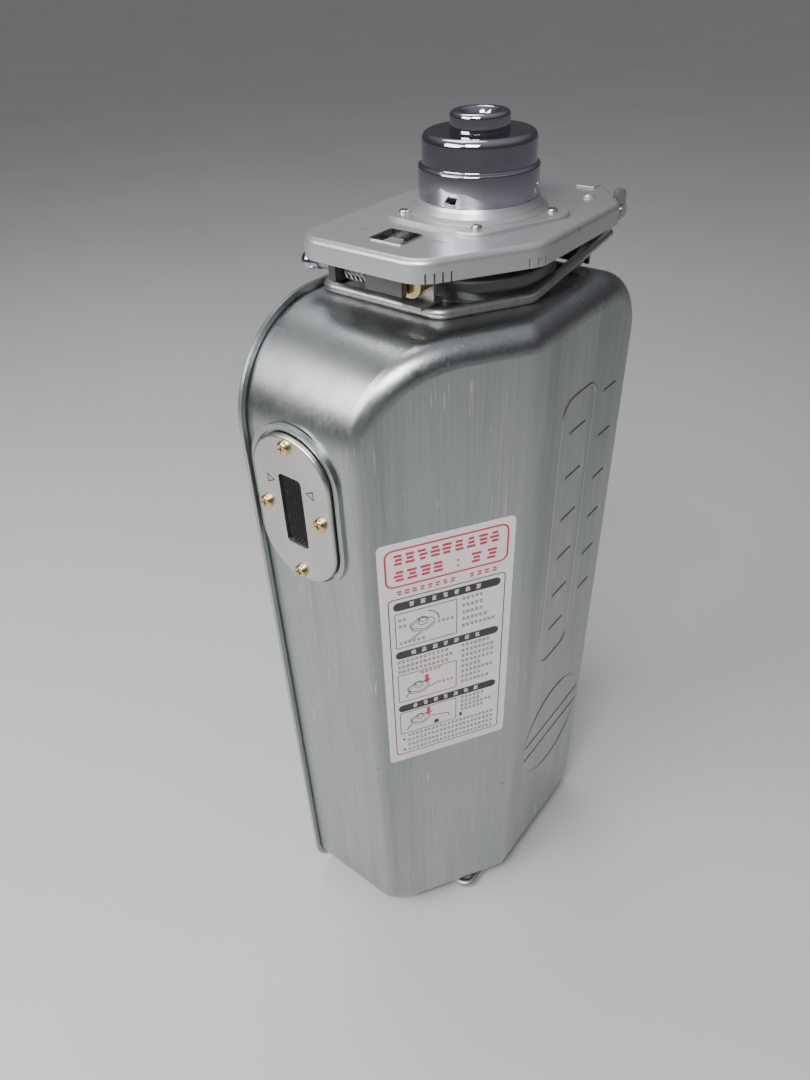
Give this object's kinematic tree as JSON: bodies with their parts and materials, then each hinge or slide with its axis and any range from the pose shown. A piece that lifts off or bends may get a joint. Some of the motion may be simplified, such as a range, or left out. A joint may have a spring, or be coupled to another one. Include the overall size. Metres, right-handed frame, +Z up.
{
  "type": "kerosene heater cartridge tank",
  "caption": "Upright pressed-steel cartridge fuel tank for a kerosene heater, with a hinged, latched lid that carries a valve cap, a prism fuel gauge, a guard rail and a folding wire handle.",
  "frame": {"origin": "middle of the bounding box on the surface that the tank stands on", "axes": "+Z up along the cap; +X from the gauge side to the hinge side; -Y is the front face, +Y the seamed back plate"},
  "size_m": [0.167, 0.1032, 0.444],
  "materials": {
    "tank_steel": "brushed aluminised sheet with fine scratches",
    "back_steel": "brushed aluminised sheet",
    "zinc_wire": "dull zinc plated wire",
    "lid_paint": "satin silver",
    "chrome": "bright, with light haze",
    "gauge_steel": "fine satin",
    "chromate": "yellow chromate",
    "brass": "turned brass",
    "lens": "black ribbed prism",
    "rubber": "matte black",
    "paper_label": "printed film",
    "dark_steel": "dull dark",
    "spring_steel": "bright wire"
  },
  "bodies": {
    "tank": {"front_shell": "tank_steel", "back_plate": "back_steel", "filler_neck": "zinc_wire", "gauge_gasket": "rubber", "gauge_plate": "gauge_steel", "gauge_lens": "lens", "gauge_screws": "chromate", "label": "paper_label", "guard_rail": "zinc_wire", "hinge_bracket": "zinc_wire", "hinge_pin": "spring_steel", "hinge_spring": "spring_steel", "latch_catch": "zinc_wire", "base_runners": "zinc_wire"},
    "lid": {"lid_plate": "lid_paint", "hinge_arms": "zinc_wire", "window_trim": "spring_steel", "lid_rivets": "lid_paint", "cap_flange": "lid_paint", "cap_flange_screws": "spring_steel", "cap_shell": "chrome", "cap_crown": "chrome", "valve_guide": "zinc_wire", "valve_spring": "spring_steel", "gasket_holder": "dark_steel", "lid_gasket": "rubber", "latch_bracket": "zinc_wire", "latch_spring": "spring_steel"},
    "latch": {"latch_rod": "zinc_wire", "latch_bolt": "chromate", "pull_knob": "chrome", "lock_slide": "rubber"},
    "valve": {"valve_stem": "brass", "valve_seal": "rubber"},
    "handle": {"carry_handle": "zinc_wire"}
  },
  "joints": [
    {"name": "lid_hinge", "type": "hinge", "parent": "tank", "child": "lid", "pos_m": [0.07705, -0.00015, 0.399], "axis": [0, 1, 0], "range_deg": [0, 100]},
    {"name": "latch_slide", "type": "slide", "parent": "lid", "child": "latch", "axis": [0, 1, 0], "range_m": [0, 0.007], "stiffness_N_per_m": 400, "springref_m": -0.005, "deforming": ["latch_spring"]},
    {"name": "valve_slide", "type": "slide", "parent": "lid", "child": "valve", "axis": [0, 0, -1], "range_m": [0, 0.004], "stiffness_N_per_m": 500, "springref_m": -0.004, "deforming": ["valve_spring"]},
    {"name": "handle_hinge", "type": "hinge", "parent": "tank", "child": "handle", "pos_m": [0.02655, -0.00115, 0.0037], "axis": [0, -1, 0], "range_deg": [0, 95]}
  ]
}
